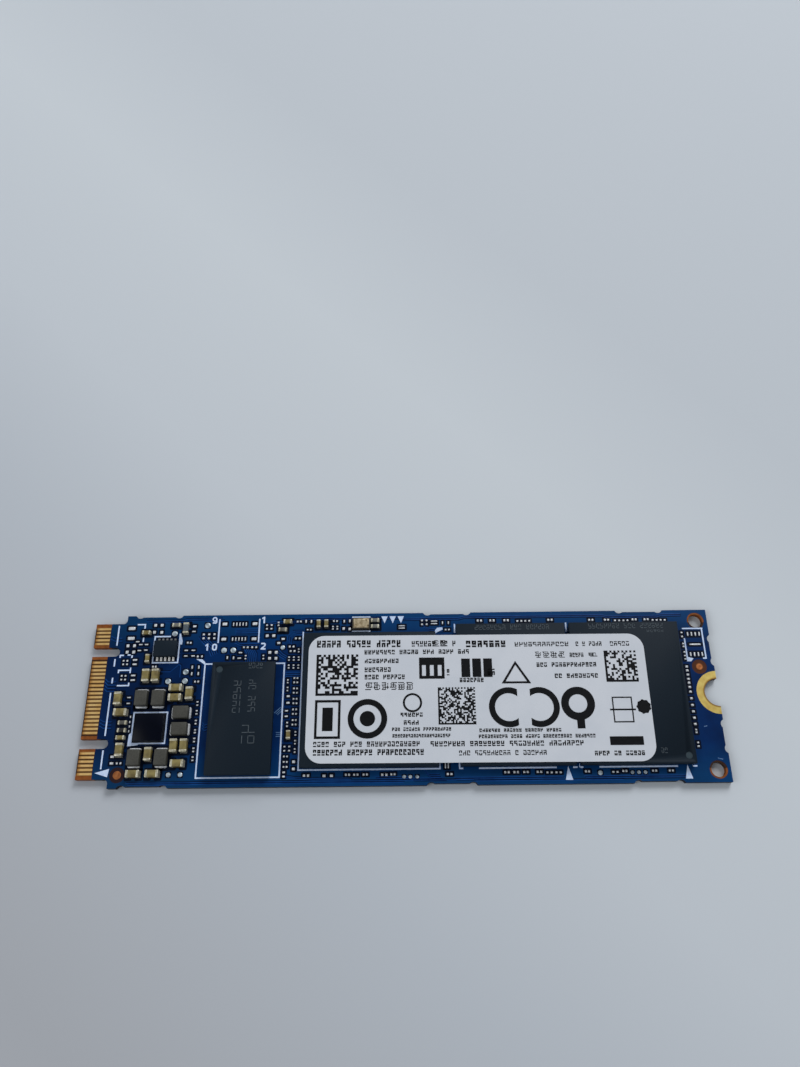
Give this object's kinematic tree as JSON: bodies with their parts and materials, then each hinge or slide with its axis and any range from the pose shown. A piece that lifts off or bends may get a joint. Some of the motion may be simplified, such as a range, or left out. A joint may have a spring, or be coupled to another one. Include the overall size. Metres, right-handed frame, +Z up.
{
  "type": "gumstick solid state drive",
  "caption": "Long thin circuit board drive with a keyed edge connector, flat chip packages under a label, and a half hole for a screw at the far end.",
  "frame": {"origin": "centre of the board outline, on the underside", "axes": "+X from the connector edge to the screw end, +Y to the long edge that is far in the picture, +Z up, out of the side with the chips"},
  "size_m": [0.08, 0.022, 0.002],
  "materials": {
    "laminate": "woven glass laminate, cut edges",
    "solder_mask": "deep blue lacquer, traces showing through",
    "gold_contact": "gold plated",
    "plated_ring": "gold plated copper",
    "bare_copper": "bare copper under clear finish",
    "board_ink": "pale printed ink",
    "package": "moulded epoxy, fine grain",
    "solder": "reflowed tin solder",
    "laser_mark": "laser mark, slightly paler than the moulding",
    "power_chip_face": "polished black die face",
    "ferrite": "dark grey ferrite compound",
    "capacitor_ceramic": "tan fired ceramic",
    "terminal": "tinned ends",
    "resistor_body": "dark glazed film",
    "diode_body": "grey moulding",
    "crystal_base": "dark ceramic",
    "crystal_lid": "pale gold plated lid",
    "label_paper": "white polyester paper, satin",
    "label_ink": "black thermal print"
  },
  "bodies": {
    "root": {"circuit_board": "laminate", "solder_mask_top": "solder_mask", "solder_mask_bottom": "solder_mask", "edge_contacts_top": "gold_contact", "edge_contacts_bottom": "gold_contact", "screw_ring": "plated_ring", "alignment_discs": "bare_copper", "board_print": "board_ink", "board_digits": "board_ink", "working_memory": "package", "controller": "package", "flash_package_1": "package", "flash_package_2": "package", "memory_solder_balls": "solder", "controller_solder_balls": "solder", "flash_1_solder_balls": "solder", "flash_2_solder_balls": "solder", "package_marks": "laser_mark", "power_chip": "power_chip_face", "power_chip_solder": "solder", "regulator_chip": "package", "regulator_leads": "solder", "inductor_cores": "ferrite", "inductor_feet": "solder", "large_capacitor_bodies": "capacitor_ceramic", "large_capacitor_ends": "terminal", "small_capacitor_bodies": "capacitor_ceramic", "small_capacitor_ends": "terminal", "small_resistor_bodies": "resistor_body", "small_resistor_ends": "terminal", "diode_body": "diode_body", "diode_ends": "terminal", "crystal_base": "crystal_base", "crystal_lid": "crystal_lid", "test_points": "solder", "connector_end_pads": "solder", "debug_connector_pads": "solder", "memory_side_pads": "solder", "far_strip_pads": "solder", "near_strip_pads": "solder", "screw_end_pads": "solder", "label": "label_paper", "label_print": "label_ink", "label_codes": "label_ink", "label_symbols": "label_ink", "label_ink_dot": "label_ink"}
  },
  "joints": []
}
